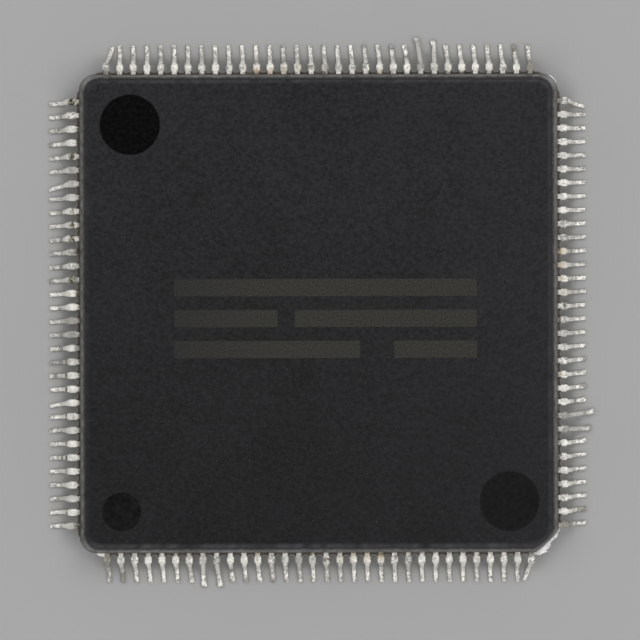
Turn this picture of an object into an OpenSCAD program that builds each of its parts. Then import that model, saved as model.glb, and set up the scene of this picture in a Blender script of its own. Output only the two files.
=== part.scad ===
// Surface-mount integrated circuit in a square flat package with gull-wing leads on four sides.
// Millimetres, +Z up. The origin is the centre of the footprint on the board,
// +X and +Y point to the right and the back of the package, and the gate corner is at +X -Y.
// A row of leads is drawn along the front side and turned by quarter turns for the other three:
// row 0 is the front, 1 the right, 2 the back and 3 the left, and places count anticlockwise from 0.

/* [Body] */
// Side of the square body at the parting line
body_side = 14; // [12:0.1:16]
// Height of the moulded body from underside to top
body_thickness = 1.4; // [1.3:0.05:1.8]
// Gap between the body's underside and the board
standoff = 0.1; // [0.05:0.01:0.15]
// Draft of the side walls, degrees off vertical
wall_draft = 12.5; // [8:0.5:15]
// Radius of the three plain corners
corner_radius = 0.5; // [0.3:0.05:0.6]
// Leg of the chamfered gate corner
gate_chamfer = 0.65; // [0.5:0.05:0.7]
// How far resin flash climbs along the sides of a lead
flash_reach = 0.14; // [0.1:0.01:0.18]
// How far resin flash stands out halfway between two leads
flash_notch = 0.065; // [0.03:0.005:0.09]

/* [Round marks] */
// Diameter of the ejector pin marks
ejector_diameter = 1.75; // [1:0.05:2.2]
// Distance of an ejector mark's centre from the two nearest sides
ejector_inset = 1.5; // [1.4:0.05:2.5]
// Diameter of the pin 1 index mark
index_diameter = 1.16; // [0.6:0.02:1.6]
// Distance of the index mark's centre from the two nearest sides
index_inset = 1.22; // [1.1:0.02:2]
// Depth of the round marks
mark_depth = 0.05; // [0.02:0.01:0.08]

/* [Leads] */
// Spacing of neighbouring leads
lead_pitch = 0.4; // [0.35:0.01:0.5]
// Least distance of a row's end leads from the next side of the body
row_end_gap = 0.75; // [0.7:0.05:2]
// Thickness of the lead frame sheet
lead_thickness = 0.125; // [0.1:0.005:0.15]
// Width of a lead where it leaves the body
root_width = 0.15; // [0.12:0.01:0.16]
// Width of the stub that the cut tie between leads has left
stub_width = 0.21; // [0.18:0.01:0.24]
// Width of a lead's foot
foot_width = 0.14; // [0.1:0.01:0.16]
// Distance from the body to the start of the stub
stub_start = 0.09; // [0.06:0.01:0.1]
// Distance from the body to the end of the stub
stub_end = 0.29; // [0.26:0.01:0.32]
// Length over which the root widens into the stub
stub_flare = 0.04; // [0.02:0.01:0.06]
// Length over which the stub narrows to the foot
stub_taper = 0.11; // [0.06:0.01:0.15]
// Length of the flat shoulder outside the body
shoulder_length = 0.2; // [0.19:0.01:0.25]
// Mid-thickness radius of the bend at the shoulder
shoulder_radius = 0.16; // [0.12:0.01:0.2]
// Mid-thickness radius of the bend at the heel
heel_radius = 0.18; // [0.12:0.01:0.2]
// Tilt of a straight lead's leg, degrees off vertical
leg_tilt = 8; // [0:1:12]
// Reach of a straight lead past the body
lead_reach = 0.9; // [0.85:0.01:1.1]

/* [Wear] */
// Sideways set of the feet early in a row, in gaps between two feet
early_set = 0.2; // [0:0.05:0.2]
// Sideways set of the feet late in a row, in gaps between two feet
late_set = 0.06; // [0:0.02:0.1]
// Last place in a row with the full early set
early_last = 12; // [4:1:14]
// First place in a row with only the late set
late_first = 20; // [16:1:22]

/* [Lead frame inside] */
// Side of the square paddle under the die
paddle_side = 6.4; // [5.8:0.1:7]
// Depth of the paddle below the leads
paddle_downset = 0.2; // [0.15:0.01:0.25]
// Gap between the paddle and the ring of inner lead tips
ring_gap = 0.7; // [0.5:0.05:0.9]
// Distance of the ring's last lead from the diagonal, along its row
ring_corner_gap = 0.49; // [0.4:0.01:0.6]
// Width of an inner lead tip
tip_width = 0.12; // [0.1:0.01:0.14]
// Length of straight lead inside the body, before it fans in
straight_inside = 0.3; // [0.2:0.05:0.4]
// Width of the tie bars that carry the paddle
tie_bar_width = 0.3; // [0.2:0.02:0.34]
// How far a cut tie bar stands out of a plain corner
tie_bar_proud = 0.03; // [0:0.01:0.05]
// Width of the torn tie bar at the gate corner
torn_width = 0.92; // [0.7:0.02:0.96]
// How far the torn tie bar stands out of the gate corner at most
torn_reach = 0.15; // [0.08:0.01:0.18]

/* [Die and wires] */
// Side of the square die
die_side = 5; // [4.6:0.1:5.2]
// Height of the die
die_height = 0.28; // [0.2:0.02:0.32]
// Thickness of the adhesive under the die
attach_height = 0.02; // [0.01:0.005:0.04]
// Distance of the bond pads from the die's sides
bond_inset = 0.1; // [0.06:0.01:0.15]
// Distance of the outer bond pads from the die's corners, along a side
bond_corner_inset = 0.33; // [0.25:0.01:0.5]
// Thickness of a bond wire
wire_thickness = 0.025; // [0.02:0.005:0.03]
// Height of a wire's loop above the die
loop_height = 0.19; // [0.12:0.01:0.22]
// Distance of a wire's end from its inner lead tip
stitch_place = 0.14; // [0.1:0.01:0.2]
// Length of a wire's flat end on its lead
stitch_length = 0.06; // [0.04:0.01:0.08]

/* [Hidden] */

// Leads bent sideways: row, place, and the foot's set in gaps between two feet. Place -1 ends a row
swept_leads = [
    [0, 7, 0], [0, 8, 0.4], [0, -1, -0.7], [1, 7, 0], [1, 8, 0.4], [1, -1, -0.65],
    [2, 7, 0], [2, 8, 0.4], [2, -1, -0.75], [3, 6, 0.6], [3, 22, 0.4]
];
// Leads pulled outwards: row, place, and the tilt of the leg in degrees off vertical
splayed_leads = [[0, 7, 25], [0, 8, 25], [1, 7, 27], [1, 8, 38], [2, 7, 25], [2, 8, 36]];
// Ragged edge of the torn tie bar: place across and height, both in shares of the whole
torn_edge = [
    [-0.5, 0.1], [-0.43, 0.6], [-0.34, 0.35], [-0.24, 0.8], [-0.11, 0.5], [0.02, 0.85],
    [0.13, 0.55], [0.22, 1], [0.33, 0.4], [0.43, 0.65], [0.5, 0.1]
];
// Steps of a lead's bend and of a body corner, and the sides of the polygon that rounds a flash notch
bend_steps = 4;
corner_steps = 9;
notch_sides = 12;
// Smoothness of the round marks
mark_smoothness = 64;
// How far cutting and clipping shapes run past what they cut
past = 0.2;

edge = body_side / 2;
body_top = standoff + body_thickness;
lead_mid = standoff + body_thickness / 2;
lead_bottom = lead_mid - lead_thickness / 2;
lead_top = lead_mid + lead_thickness / 2;
paddle_mid = lead_mid - paddle_downset;
paddle_top = paddle_mid + lead_thickness / 2;
die_bottom = paddle_top + attach_height;
die_top = die_bottom + die_height;
ring = paddle_side / 2 + ring_gap;
leads_per_side = floor((body_side - 2 * row_end_gap) / lead_pitch) + 1;
middle_place = (leads_per_side - 1) / 2;
ring_pitch = (ring - ring_corner_gap) / middle_place;
bond_pitch = (die_side / 2 - bond_corner_inset) / middle_place;
foot_gap = lead_pitch - foot_width;
leg_turn = 90 - leg_tilt;
bends_drop = (shoulder_radius + heel_radius) * (1 - cos(leg_turn));
leg_length = (lead_bottom - bends_drop) / sin(leg_turn);
heel_end = shoulder_length + (shoulder_radius + heel_radius) * sin(leg_turn) + leg_length * cos(leg_turn);
foot_length = lead_reach - heel_end;
gate_distance = (body_side - gate_chamfer) / sqrt(2);
corner_distance = (edge - corner_radius) * sqrt(2) + corner_radius;

function unit(v) = v / norm(v);
function left_of(v) = [-v[1], v[0]];

// The point beside corner i of a path, at an even distance from the stretches that meet there
function beside(path, i, distance) =
    let (
        last = len(path) - 1,
        before = unit(i == 0 ? path[1] - path[0] : path[i] - path[i - 1]),
        after = unit(i == last ? path[last] - path[last - 1] : path[i + 1] - path[i])
    )
    path[i] + (left_of(before) + left_of(after)) * distance / (1 + before * after);

// The outline of a strip of even thickness along a path
function strip(path, thickness) =
    let (last = len(path) - 1)
    concat(
        [for (i = [0:last]) beside(path, i, thickness / 2)],
        [for (i = [last:-1:0]) beside(path, i, -thickness / 2)]
    );

// Points of an arc from one angle to another
function arc(centre, radius, from, to, steps) =
    [for (k = [0:steps]) let (a = from + (to - from) * k / steps) centre + radius * [cos(a), sin(a)]];

// The third value of the entry for a lead in a list of odd leads, or the plain value
function listed(list, row, place, plain) =
    let (
        places = [place, place - leads_per_side],
        found = [for (entry = list) for (p = places) if (entry[0] == row && entry[1] == p) entry[2]]
    )
    len(found) > 0 ? found[0] : plain;

// Sideways set of a foot that no list names
function plain_set(place) =
    let (share = min(1, max(0, (place - early_last) / (late_first - early_last))))
    early_set + (late_set - early_set) * share;

// Place of a lead along its row where it leaves the body, and at a distance inside it
function root_place(place) = (place - middle_place) * lead_pitch;
function inner_place(place, distance) =
    let (share = (distance - ring) / (edge - straight_inside - ring))
    (place - middle_place) * (ring_pitch + (lead_pitch - ring_pitch) * share);

// A lead seen from above as stations from its inner tip to past its toe: place, distance, width
function lead_stations(row, place) =
    let (
        s = root_place(place),
        set = listed(swept_leads, row, place, plain_set(place)) * foot_gap,
        lean = set / (lead_reach - stub_end),
        narrow = stub_end + stub_taper,
        toe = lead_reach + 2 * past
    )
    [
        [inner_place(place, ring), ring, tip_width],
        [s, edge - straight_inside, root_width],
        [s, edge + stub_start, root_width],
        [s, edge + stub_start + stub_flare, stub_width],
        [s, edge + stub_end, stub_width],
        [s + lean * stub_taper, edge + narrow, foot_width],
        [s + lean * (toe - stub_end), edge + toe, foot_width]
    ];

function lead_outline(row, place) =
    let (stations = lead_stations(row, place), last = len(stations) - 1)
    concat(
        [for (k = [0:last]) [stations[k][0] - stations[k][2] / 2, -stations[k][1]]],
        [for (k = [last:-1:0]) [stations[k][0] + stations[k][2] / 2, -stations[k][1]]]
    );

// The mid-thickness line of a lead seen from the side, with its developed length kept at any tilt
function lead_path(tilt) =
    let (
        turn = 90 - tilt,
        opened = (shoulder_radius + heel_radius) * (leg_turn - turn) * PI / 180,
        leg = leg_length + opened,
        shoulder = [edge + shoulder_length, lead_mid - shoulder_radius],
        heel = shoulder + (shoulder_radius + heel_radius) * [cos(tilt), sin(tilt)] + leg * [sin(tilt), -cos(tilt)]
    )
    concat(
        [[ring - past, lead_mid]],
        arc(shoulder, shoulder_radius, 90, tilt, bend_steps),
        arc(heel, heel_radius, 180 + tilt, 270, bend_steps),
        [heel + [foot_length, -heel_radius]]
    );

function body_outline() =
    let (centre = edge - corner_radius)
    concat(
        arc([centre, centre], corner_radius, 0, 90, corner_steps),
        arc([-centre, centre], corner_radius, 90, 180, corner_steps),
        arc([-centre, -centre], corner_radius, 180, 270, corner_steps),
        [[edge - gate_chamfer, -edge], [edge, gate_chamfer - edge]]
    );

// Turns a shape drawn for the front row to another row
module in_row(row) {
    rotate([0, 0, 90 * row]) children();
}

// Stands a side view up so that its first axis points out of the front side
module standing_outwards(width) {
    rotate([90, 0, -90]) linear_extrude(height = width, center = true) children();
}

module lead(row, place) {
    intersection() {
        linear_extrude(height = body_top) polygon(lead_outline(row, place));
        standing_outwards(body_side + 4 * lead_reach)
            polygon(strip(lead_path(listed(splayed_leads, row, place, leg_tilt)), lead_thickness));
    }
}

module lead_row(row) {
    color("gainsboro") in_row(row) for (place = [0:leads_per_side - 1]) lead(row, place);
}

// Half of the body, tapering away from the parting band
module body_half(height) {
    linear_extrude(height = height, scale = 1 - 2 * height * tan(wall_draft) / body_side)
        polygon(body_outline());
}

// Resin squeezed between the leads of one row, with a rounded notch in each gap
module flash_strip() {
    half_gap = (lead_pitch - root_width) / 2;
    sag = flash_reach - flash_notch;
    notch_radius = (half_gap * half_gap + sag * sag) / (2 * sag);
    length = leads_per_side * lead_pitch;
    difference() {
        translate([-length / 2, -edge - flash_reach]) square([length, flash_reach + past]);
        for (gap = [0:leads_per_side])
            translate([(gap - leads_per_side / 2) * lead_pitch, -edge - flash_notch - notch_radius])
                circle(r = notch_radius, $fn = notch_sides);
    }
}

// The level of the lead frame: body outline and flash, with a slot for each lead
module parting_band() {
    linear_extrude(height = lead_thickness) difference() {
        union() {
            polygon(body_outline());
            for (row = [0:3]) in_row(row) flash_strip();
        }
        for (row = [0:3]) in_row(row) for (place = [0:leads_per_side - 1]) polygon(lead_outline(row, place));
    }
}

module round_mark(x, y, z, diameter) {
    translate([x, y, z]) cylinder(d = diameter, h = mark_depth + past, $fn = mark_smoothness);
}

// Two ejector marks on each face, and the index mark by the first lead on the top
module round_marks() {
    ejector_place = edge - ejector_inset;
    index_place = edge - index_inset;
    for (z = [body_top - mark_depth, standoff - past]) {
        round_mark(-ejector_place, ejector_place, z, ejector_diameter);
        round_mark(ejector_place, -ejector_place, z, ejector_diameter);
    }
    round_mark(-index_place, -index_place, body_top - mark_depth, index_diameter);
}

module molded_body() {
    color("dimgray") difference() {
        union() {
            translate([0, 0, lead_top]) body_half(body_top - lead_top);
            translate([0, 0, lead_bottom]) parting_band();
            translate([0, 0, lead_bottom]) mirror([0, 0, 1]) body_half(lead_bottom - standoff);
        }
        round_marks();
        die_paddle();
        die_attach();
        silicon_die();
        for (row = [0:3]) wire_row(row);
    }
}

// A tie bar along a diagonal: from the paddle's corner up to the level of the leads and out to the end
module tie_bar(end) {
    paddle_corner = paddle_side / sqrt(2);
    path = [
        [paddle_corner - tie_bar_width, paddle_mid],
        [paddle_corner + paddle_downset, paddle_mid],
        [paddle_corner + 2 * paddle_downset, lead_mid],
        [end, lead_mid]
    ];
    rotate([90, 0, 0])
        linear_extrude(height = tie_bar_width, center = true) polygon(strip(path, lead_thickness));
}

// The widened end of the gate's tie bar, torn along its outer edge
module torn_end() {
    inside = gate_distance - tie_bar_width;
    translate([0, 0, lead_bottom]) linear_extrude(height = lead_thickness)
        polygon(concat(
            [[inside, tie_bar_width / 2], [inside, -tie_bar_width / 2]],
            [for (p = torn_edge) [gate_distance + p[1] * torn_reach, p[0] * torn_width]]
        ));
}

module die_paddle() {
    color("rosybrown") {
        translate([0, 0, paddle_mid]) cube([paddle_side, paddle_side, lead_thickness], center = true);
        for (corner = [45, 135, 225]) rotate([0, 0, corner]) tie_bar(corner_distance + tie_bar_proud);
        rotate([0, 0, 315]) {
            tie_bar(gate_distance);
            torn_end();
        }
    }
}

module die_attach() {
    color("lightgray") translate([-die_side / 2, -die_side / 2, paddle_top])
        cube([die_side, die_side, attach_height]);
}

module silicon_die() {
    color("slategray") translate([-die_side / 2, -die_side / 2, die_bottom])
        cube([die_side, die_side, die_height]);
}

// A wire's middle line seen from the side, from its bond pad over the loop to its lead
function wire_path(span) =
    let (loop = die_top + loop_height, stitch = lead_top + wire_thickness / 2, knee = loop_height / 2)
    [
        [0, die_top],
        [0, loop - knee],
        [knee, loop],
        [span / 2, loop],
        [span - stitch_length, stitch],
        [span, stitch]
    ];

module wire(place) {
    pad = [(place - middle_place) * bond_pitch, bond_inset - die_side / 2];
    landing = [inner_place(place, ring + stitch_place), -ring - stitch_place];
    run = landing - pad;
    translate(pad) rotate([0, 0, atan2(run[1], run[0])]) rotate([90, 0, 0])
        linear_extrude(height = wire_thickness, center = true)
            polygon(strip(wire_path(norm(run)), wire_thickness));
}

module wire_row(row) {
    color("goldenrod") in_row(row) for (place = [0:leads_per_side - 1]) wire(place);
}

molded_body();
lead_row(0);  // leads_front_row
lead_row(1);  // leads_right_row
lead_row(2);  // leads_back_row
lead_row(3);  // leads_left_row
die_paddle();
die_attach();
silicon_die();
wire_row(0);  // wires_front_row
wire_row(1);  // wires_right_row
wire_row(2);  // wires_back_row
wire_row(3);  // wires_left_row
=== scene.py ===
import math
import random

import bmesh
import bpy
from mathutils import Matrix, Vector, noise
from mathutils.geometry import interpolate_bezier


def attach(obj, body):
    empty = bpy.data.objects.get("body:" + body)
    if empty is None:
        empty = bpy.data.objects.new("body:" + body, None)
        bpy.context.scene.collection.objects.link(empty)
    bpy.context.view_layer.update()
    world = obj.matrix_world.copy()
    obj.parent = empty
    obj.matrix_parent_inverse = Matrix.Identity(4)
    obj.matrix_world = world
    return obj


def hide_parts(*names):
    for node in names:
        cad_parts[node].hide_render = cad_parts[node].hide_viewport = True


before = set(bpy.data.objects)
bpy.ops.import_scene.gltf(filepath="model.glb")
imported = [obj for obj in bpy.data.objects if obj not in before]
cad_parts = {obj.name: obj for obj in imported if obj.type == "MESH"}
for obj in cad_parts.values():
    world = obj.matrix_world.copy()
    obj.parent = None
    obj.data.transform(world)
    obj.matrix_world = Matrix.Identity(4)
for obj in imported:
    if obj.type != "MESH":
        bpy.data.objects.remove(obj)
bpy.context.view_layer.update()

# A desoldered flat-package integrated circuit. Lengths are millimetres until a mesh is made.
# Rows 0 to 3 are the front, right, back and left, and a row's places count anticlockwise from 0.
MM = 0.001

# Body
EDGE = 7.0
BODY_TOP = 1.5
STANDOFF = 0.1
WALL_DRAFT = math.radians(12.5)
END_WALL_DRAFT = math.radians(10.0)
CORNER_RADIUS = 0.5
GATE_CHAMFER = 0.65
GATE_CUT = 0.68
GATE_CUT_SHRINK = 0.6
GATE_ROUNDING = 0.12
EDGE_FILLET = 0.05
FOOT_OF_WALL = 0.2
# The ledge and the narrow band round the top, and how much higher the field inside is
LEDGE_WIDTH = 0.015
BAND_WIDTH = 0.15
BAND_RISE = 0.008
# Resin flash: its reach beside leads and between them, how far it runs on at corners, and its chance
FLASH_REACH = 0.14
FLASH_NOTCH = 0.065
CORNER_TAIL = 0.13
REACH_CHANCE = (0.75, 1)
NOTCH_CHANCE = (0.75, 1.2)
# Waves of the body's edges: how far they stray, a seed, and how wide they are
EDGE_WAVES = [(0.012, 0, 0.35), (0.008, 5, 0.1)]

# Round marks, and the half width of the lip, the depth and the raggedness of a crisp and a soft one
CRISP_PLACE = (-5.485, 5.5)
SOFT_PLACE = (5.54, -5.485)
EJECTOR_RADIUS = 0.87
INDEX_PLACE = (-5.75, -5.765)
INDEX_RADIUS = 0.565
CRISP = (0.02, 0.05, 0.012)
SOFT = (0.06, 0.02, 0.004)

# Plain laser-marked bars on the top: middle x, middle y, length and height
MARK_BARS = [
    (0.2, 0.75, 8.8, 0.5), (-2.7, -0.15, 3.0, 0.5), (1.95, -0.15, 5.3, 0.5),
    (-1.5, -1.05, 5.4, 0.5), (3.4, -1.05, 2.4, 0.5)
]

# Leads
PITCH = 0.4
LEADS_PER_SIDE = 32
MIDDLE_PLACE = (LEADS_PER_SIDE - 1) / 2
THICKNESS = 0.125
ROOT_WIDTH = 0.15
STUB_WIDTH = 0.203
FOOT_WIDTH = 0.115
# The wide stub of each row's leads: where it starts, is full, ends and is gone, out from the body
STUBS = [
    (0.09, 0.125, 0.285, 0.31), (0.07, 0.1, 0.24, 0.265),
    (0.085, 0.115, 0.265, 0.29), (0.04, 0.13, 0.25, 0.45)
]
# Chance on single leads: how full the stub is on each side, how much longer it is there, and dullness
STUB_FULLNESS = (0.9, 1.15)
STUB_STRETCH = (-0.02, 0.025)
DULLNESS = [0, 0, 0.05, 0.15, 0.25]
LEAN_START = 0.3
SHOULDER_LENGTH = 0.2
SHOULDER_RADIUS = 0.16
HEEL_RADIUS = 0.18
LEG_TILT = 8
LEFT_LEG_TILT = 12
LEAD_REACH = 0.9
FOOT_GAP = 0.265
LEAD_MID = STANDOFF + (BODY_TOP - STANDOFF) / 2
LEAD_LOW = LEAD_MID - THICKNESS / 2
LEAD_TOP = LEAD_MID + THICKNESS / 2
# Inner tips: their distance from the middle, pitch and width, and how far a lead runs straight inside
RING = 3.9
RING_PITCH = 0.22
TIP_WIDTH = 0.12
STRAIGHT_INSIDE = 0.3
# Rounding of a lead's section, narrowing of its toe's end, and lumps of old solder
SECTION_RADIUS = 0.014
TIP_BLUNTING = 0.88
ROOT_LUMPS, FOOT_LUMPS, LUMP_SIZE = 0.003, 0.006, 0.09
# Where a straight root has its stations, out from the body, and how many steps the rest of a lead has
ROOT_STATIONS = [-STRAIGHT_INSIDE, -0.1, 0, 0.03, 0.06, 0.08, 0.095, 0.11, 0.125, 0.14, 0.17]
SHOULDER_STEPS, LEG_STEPS, HEEL_STEPS, FOOT_STEPS = 15, 7, 9, 9

# The edge of a web of resin or solder between leads: distance in from it, height, and strength of the painted
# highlight on the rim, upwards
WEB_EDGE = [
    (0.02, LEAD_LOW, 0.3), (0, LEAD_LOW + 0.025, 1), (0, LEAD_TOP - 0.035, 1),
    (0.008, LEAD_TOP - 0.012, 1), (0.03, LEAD_TOP - 0.004, 0.4), (0.045, LEAD_TOP - 0.008, 0)
]
WEB_INSIDE = 0.06
WEB_SAG = 0.014

# Sideways set of the feet in gaps between two feet: early and late in a row, and bent leads
EARLY_SET, LATE_SET = 0.18, 0.12
EARLY_LAST, LATE_FIRST = 12, 20
SWEPT = {
    (0, 7): 0, (0, 8): 0.28, (0, 31): -0.7, (1, 7): 0, (1, 8): 0.28, (1, 31): -0.65,
    (2, 7): 0, (2, 8): 0.28, (2, 31): -0.75, (3, 6): 0.6, (3, 22): 0.4
}
# Tilt in degrees of the legs that were pulled outwards
SPLAYED = {(0, 7): 25, (0, 8): 25, (1, 7): 27, (1, 8): 38, (2, 7): 25, (2, 8): 36}
# How much of a foot is worn away at its tip, in each row and more on single leads
ROW_WORN = [0.01, 0.05, 0.02, 0.032]
WORN_TIPS = {
    (0, 7): 0.02, (0, 8): 0.025, (0, 31): 0.04, (1, 7): 0.075, (1, 8): 0.085, (1, 31): 0.08,
    (2, 7): 0.04, (2, 8): 0.055, (2, 31): 0.07
}
# Toes that the pull has spread to one side: place in a row and how far
SPREAD_TOES = {6: 0.03, 7: 0.05, 8: 0.05, 9: 0.04, 10: 0.02, 11: 0.03}

# Stretches along a lead from where it leaves the body, over which its stub ends, its lumps grow, its foot
# begins, its toe spreads and its toe begins
STUB_ENDS = (0.4, 0.25)
LUMPS_GROW = (0.5, 1.0)
FOOT_BEGINS = (0.85, 1.1)
TOE_SPREADS = (1.15, 1.4)
TOE_BEGINS = (1.2, 1.45)
# How worn, grey and stained leads are. Three rows are alike and the left one isn't.
LEFT_ROW = 3
ALIKE_WEAR = {"leg": 0.2, "foot": 0.5, "toe": 0.3, "greyed": 0, "root_stain": 0.2}
LEFT_WEAR = {"leg": 0, "foot": 0.7, "toe": 0, "greyed": 0.14, "root_stain": 0.35}
STUB_WEAR = 0.2
TOE_DULLING = 0.3
ROOT_STAIN_PLACE, ROOT_STAIN_LENGTH = 0.02, 0.04

# Marks that soldering left on single leads, by place in a row: what it is, how far along the lead its middle
# lies, how long it is to either side, and how strong it is. In the left row, the short stains at the bend are
# painted shade in the crease between the stub and the leg.
ROOT, STUB, BEND, HEEL, FOOT, TOE = 0.04, 0.19, 0.37, 1.0, 1.25, 1.4
ALIKE_BLOTCHES = {
    0: [("dull", STUB, 0.22, 1.0), ("stain", STUB, 0.2, 0.38), ("wear", FOOT, 0.2, 0.6)],
    1: [("stain", FOOT, 0.2, 0.4), ("dull", TOE, 0.15, 0.6)],
    2: [("wear", STUB, 0.08, 1.0)],
    3: [("dull", ROOT, 0.05, 0.6)],
    5: [("stain", ROOT, 0.05, 0.5)],
    6: [("stain", ROOT, 0.06, 0.5)],
    7: [("dull", STUB, 0.12, 0.5)],
    8: [("dull", STUB, 0.12, 0.6), ("wear", STUB, 0.1, 0.9)],
    9: [("dull", HEEL, 0.07, 1.2)],
    10: [("dull", TOE, 0.12, 0.9)],
    11: [("flux", ROOT, 0.06, 0.6)],
    12: [("wear", STUB, 0.1, 0.7), ("dull", TOE, 0.1, 0.8)],
    13: [("dull", STUB, 0.1, 0.45)],
    14: [("dull", STUB, 0.12, 0.45)],
    15: [("dull", STUB, 0.1, 0.5), ("stain", ROOT, 0.05, 0.5)],
    16: [("stain", STUB, 0.05, 0.7)],
    17: [("flux", STUB, 0.15, 0.25)],
    18: [("flux", ROOT, 0.12, 0.5), ("wear", BEND, 0.1, 1.0)],
    19: [("flux", ROOT, 0.14, 0.6)],
    20: [("flux", ROOT, 0.13, 1.0), ("stain", ROOT, 0.03, 0.6), ("dull", BEND, 0.12, 0.6)],
    21: [("dull", STUB, 0.12, 0.3), ("wear", STUB, 0.15, 0.4)],
    22: [("dull", STUB, 0.09, 0.35), ("wear", STUB, 0.1, 0.5)],
    31: [("dull", ROOT, 0.12, 0.8), ("stain", ROOT, 0.09, 0.3), ("wear", STUB, 0.2, 0.8)]
}
# In this row, the short stains at BEND are painted shade in the crease between the stub and the leg.
LEFT_BLOTCHES = {
    0: [("stain", STUB, 0.1, 1.1)],
    1: [("wear", STUB, 0.1, 1.0), ("dull", HEEL, 0.15, 0.6)],
    2: [("stain", ROOT, 0.05, 0.4)],
    3: [("stain", ROOT, 0.06, 0.6), ("dull", TOE, 0.1, 1.2), ("stain", TOE, 0.1, 0.4)],
    4: [("stain", STUB, 0.07, 0.9)],
    5: [("dull", STUB, 0.1, 0.6)],
    6: [("dull", STUB, 0.1, 0.5)],
    8: [("stain", STUB, 0.08, 0.4), ("dull", HEEL, 0.12, 0.9)],
    9: [("stain", STUB, 0.07, 0.7)],
    10: [("stain", STUB, 0.08, 0.9), ("dull", HEEL, 0.15, 0.8)],
    11: [("dull", STUB, 0.1, 0.4), ("stain", ROOT, 0.12, 0.7)],
    12: [("wear", STUB, 0.12, 1.1), ("dull", HEEL, 0.12, 0.9)],
    13: [("stain", STUB, 0.1, 0.8), ("stain", TOE, 0.06, 0.7)],
    14: [("stain", ROOT, 0.06, 0.7)],
    15: [("wear", HEEL, 0.2, 0.5)],
    16: [("dull", STUB, 0.4, 0.5)],
    17: [("dull", STUB, 0.12, 0.7), ("dull", HEEL, 0.2, 0.5)],
    18: [("dull", ROOT, 0.09, 0.9), ("dull", HEEL, 0.15, 1.0)],
    19: [("stain", BEND, 0.06, 0.8), ("wear", FOOT, 0.3, 1.6), ("dull", FOOT, 0.3, 1.0)],
    20: [("stain", BEND, 0.04, 0.9), ("stain", FOOT, 0.06, 0.7)],
    21: [("stain", BEND, 0.04, 0.9)],
    23: [("stain", BEND, 0.04, 0.6), ("dull", STUB, 0.05, 0.5)],
    25: [("stain", BEND, 0.04, 0.7)],
    26: [("stain", BEND, 0.04, 0.8), ("stain", HEEL, 0.06, 0.8)],
    27: [("stain", BEND, 0.04, 0.7)],
    28: [("stain", ROOT, 0.06, 0.6)],
    30: [("stain", BEND, 0.04, 0.7)],
    31: [("dull", ROOT, 0.22, 0.9), ("stain", ROOT, 0.15, 0.55)]
}

# Lead frame inside
PADDLE_SIDE = 6.4
PADDLE_DOWNSET = 0.2
PADDLE_SOFTENING = 0.01
TIE_BAR_WIDTH = 0.3
TIE_BAR_PROUD = 0.03
TIE_BAR_FLUSH = 0.004
GATE_DISTANCE = (2 * EDGE - GATE_CHAMFER) / math.sqrt(2)
CORNER_DISTANCE = (EDGE - CORNER_RADIUS) * math.sqrt(2) + CORNER_RADIUS
# Torn edge of the tie bar at the gate: place across the corner and reach past the chamfer
TORN_EDGE = [
    (-0.56, -0.04), (-0.54, 0.04), (-0.44, 0.135), (-0.35, 0.16), (-0.3, 0.185), (-0.19, 0.225),
    (-0.25, 0.13), (-0.18, 0.175), (-0.02, 0.165), (0, 0.11), (0.16, 0.095), (0.26, 0.12),
    (0.35, 0.08), (0.52, 0.01)
]
# Insets and heights of that edge, upwards
TORN_LEVELS = [(0.012, LEAD_LOW), (0, LEAD_LOW + 0.02), (0, LEAD_TOP - 0.03), (0.016, LEAD_TOP)]

ROW_NAMES = ["front", "right", "back", "left"]


def smooth_step(low, high, x):
    t = min(1, max(0, (x - low) / (high - low)))
    return t * t * (3 - 2 * t)


def bell(x, middle, length):
    """1 at the middle, fading to either side."""
    return math.exp(-((x - middle) / length) ** 2)


def ripple(x, y, z, size):
    """Smooth noise from about -1 to 1 whose lumps are about as wide as size."""
    return noise.noise(Vector((x, y, z)) / size)


def in_row(row, s, u, z):
    """A point at s along a row and u out from the middle, turned to its side of the body."""
    turned = [(s, -u), (u, s), (-s, u), (-u, -s)]
    return (*turned[row], z)


def on_circle(centre, radius, degrees):
    a = math.radians(degrees)
    return (centre[0] + radius * math.cos(a), centre[1] + radius * math.sin(a))


def arc(centre, radius, start, end, steps):
    return [on_circle(centre, radius, start + (end - start) * k / steps) for k in range(steps + 1)]


class Shape:
    """Collects vertices, faces and values at the vertices, and makes one piece of them."""

    def __init__(self):
        self.points = []
        self.faces = []
        self.values = {}

    def add(self, point, **values):
        self.points.append(point)
        for name, value in values.items():
            self.values.setdefault(name, []).append(value)
        return len(self.points) - 1

    def loft(self, rings):
        """Joins and caps rings of equal length, which run anticlockwise as seen from the last one."""
        count = len(rings[0])
        for low, high in zip(rings, rings[1:]):
            for k in range(count):
                n = (k + 1) % count
                self.faces.append([low[k], low[n], high[n], high[k]])
        self.faces.append(rings[0][::-1])
        self.faces.append(rings[-1])

    def make(self, name, material, crease=50):
        mesh = bpy.data.meshes.new(name)
        mesh.from_pydata([Vector(p) * MM for p in self.points], [], self.faces)
        mesh.materials.append(material)
        for key, values in self.values.items():
            layer = mesh.attributes.new(key, "FLOAT", "POINT")
            layer.data.foreach_set("value", values)
        mesh.shade_smooth()
        mesh.set_sharp_from_angle(angle=math.radians(crease))
        return place_piece(name, mesh)


def place_piece(name, mesh):
    piece = bpy.data.objects.new(name, mesh)
    bpy.context.scene.collection.objects.link(piece)
    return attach(piece, "root")


# Material helpers


def add_node(tree, kind, inputs, **settings):
    made = tree.nodes.new(kind)
    for key, value in settings.items():
        setattr(made, key, value)
    for key, value in inputs.items():
        if isinstance(value, bpy.types.NodeSocket):
            tree.links.new(value, made.inputs[key])
        else:
            made.inputs[key].default_value = value
    return made


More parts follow.
